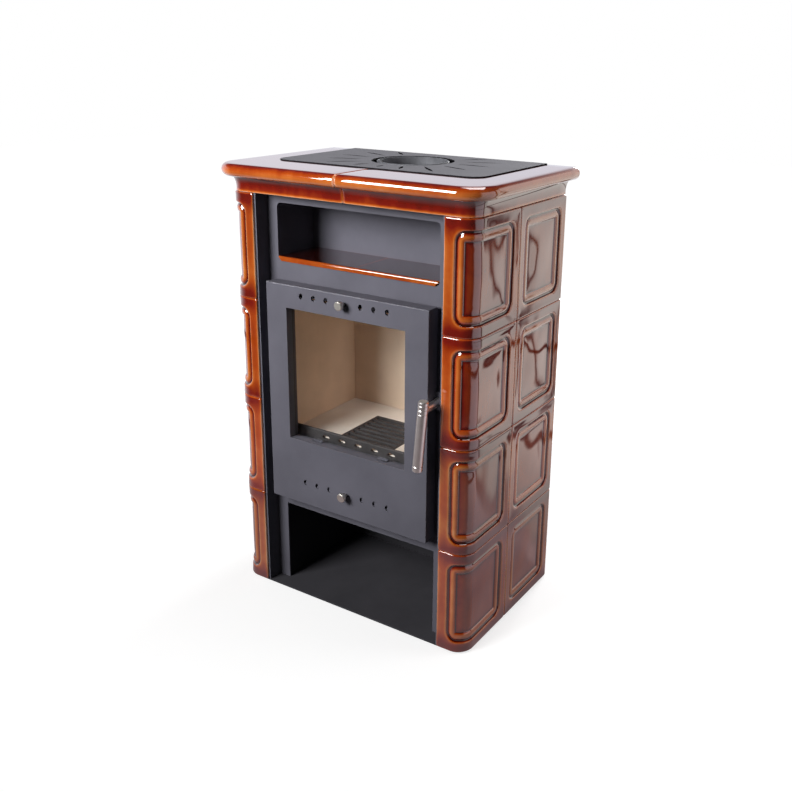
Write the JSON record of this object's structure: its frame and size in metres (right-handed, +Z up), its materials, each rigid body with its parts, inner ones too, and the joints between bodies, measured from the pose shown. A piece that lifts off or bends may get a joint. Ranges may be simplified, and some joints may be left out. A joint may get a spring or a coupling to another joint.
{
  "type": "tiled stove",
  "caption": "Tiled wood stove: glazed corner and side tiles round a steel body with a glazed fire door, air sliders, a shelf niche, a wood store and a flue collar on top.",
  "frame": {"origin": "on the floor, in the middle of the tile block", "axes": "+Z up, -Y to the front (door side), +X towards the handle side"},
  "size_m": [0.633, 0.415, 0.94],
  "materials": {
    "glaze": "high-gloss amber-brown glaze, paler on the edges",
    "steel_paint": "fine-grained matt charcoal stove paint",
    "cast_iron": "matt grey cast iron",
    "fireclay": "matt sand-coloured fireclay",
    "clear_glass": "clear fire-viewing glass",
    "rope_seal": "dark woven sealing rope",
    "zinc_steel": "zinc-plated steel",
    "bright_steel": "polished steel"
  },
  "bodies": {
    "stove_body": {"corner_tile_right_1": "glaze", "corner_tile_right_2": "glaze", "corner_tile_right_3": "glaze", "corner_tile_right_4": "glaze", "corner_tile_left_1": "glaze", "corner_tile_left_2": "glaze", "corner_tile_left_3": "glaze", "corner_tile_left_4": "glaze", "side_tile_right_1": "glaze", "side_tile_right_2": "glaze", "side_tile_right_3": "glaze", "side_tile_right_4": "glaze", "side_tile_left_1": "glaze", "side_tile_left_2": "glaze", "side_tile_left_3": "glaze", "side_tile_left_4": "glaze", "cornice_right": "glaze", "cornice_left": "glaze", "shelf_tile_right": "glaze", "shelf_tile_left": "glaze", "base_plate": "steel_paint", "front_frame": "steel_paint", "side_wall_right": "steel_paint", "side_wall_left": "steel_paint", "back_wall": "steel_paint", "inner_body": "steel_paint", "niche_box": "steel_paint", "smoke_chamber": "steel_paint", "top_plate": "steel_paint", "tile_rails": "steel_paint", "hinge_arms": "steel_paint", "latch_keeper": "steel_paint", "ash_pan": "steel_paint", "grate": "cast_iron", "log_guard": "cast_iron", "flue_collar": "cast_iron", "hearth_stone": "fireclay", "brick_right": "fireclay", "brick_left": "fireclay", "brick_back": "fireclay", "baffle": "fireclay", "hinge_pins": "zinc_steel", "hinge_screws": "zinc_steel"},
    "door": {"door_pan": "steel_paint", "door_frame": "steel_paint", "door_glass": "clear_glass", "glass_gasket": "rope_seal", "door_gasket": "rope_seal", "glass_clips": "zinc_steel", "slider_guides": "zinc_steel", "latch_bush": "zinc_steel"},
    "upper_air": {"upper_slider": "zinc_steel", "upper_knob": "bright_steel"},
    "lower_air": {"lower_slider": "zinc_steel", "lower_knob": "bright_steel"},
    "handle": {"handle_grip": "bright_steel", "handle_stem": "bright_steel", "latch_tongue": "zinc_steel"}
  },
  "joints": [
    {"name": "door_hinge", "type": "hinge", "parent": "stove_body", "child": "door", "pos_m": [-0.188, -0.169, 0.46], "axis": [0, 0, -1], "range_deg": [0, 110]},
    {"name": "handle_turn", "type": "hinge", "parent": "door", "child": "handle", "pos_m": [0.2075, -0.17, 0.522], "axis": [0, 1, 0], "range_deg": [-5, 85]},
    {"name": "upper_air_slide", "type": "slide", "parent": "door", "child": "upper_air", "axis": [1, 0, 0], "range_m": [-0.008, 0.0055]},
    {"name": "lower_air_slide", "type": "slide", "parent": "door", "child": "lower_air", "axis": [1, 0, 0], "range_m": [-0.0045, 0.009]}
  ]
}
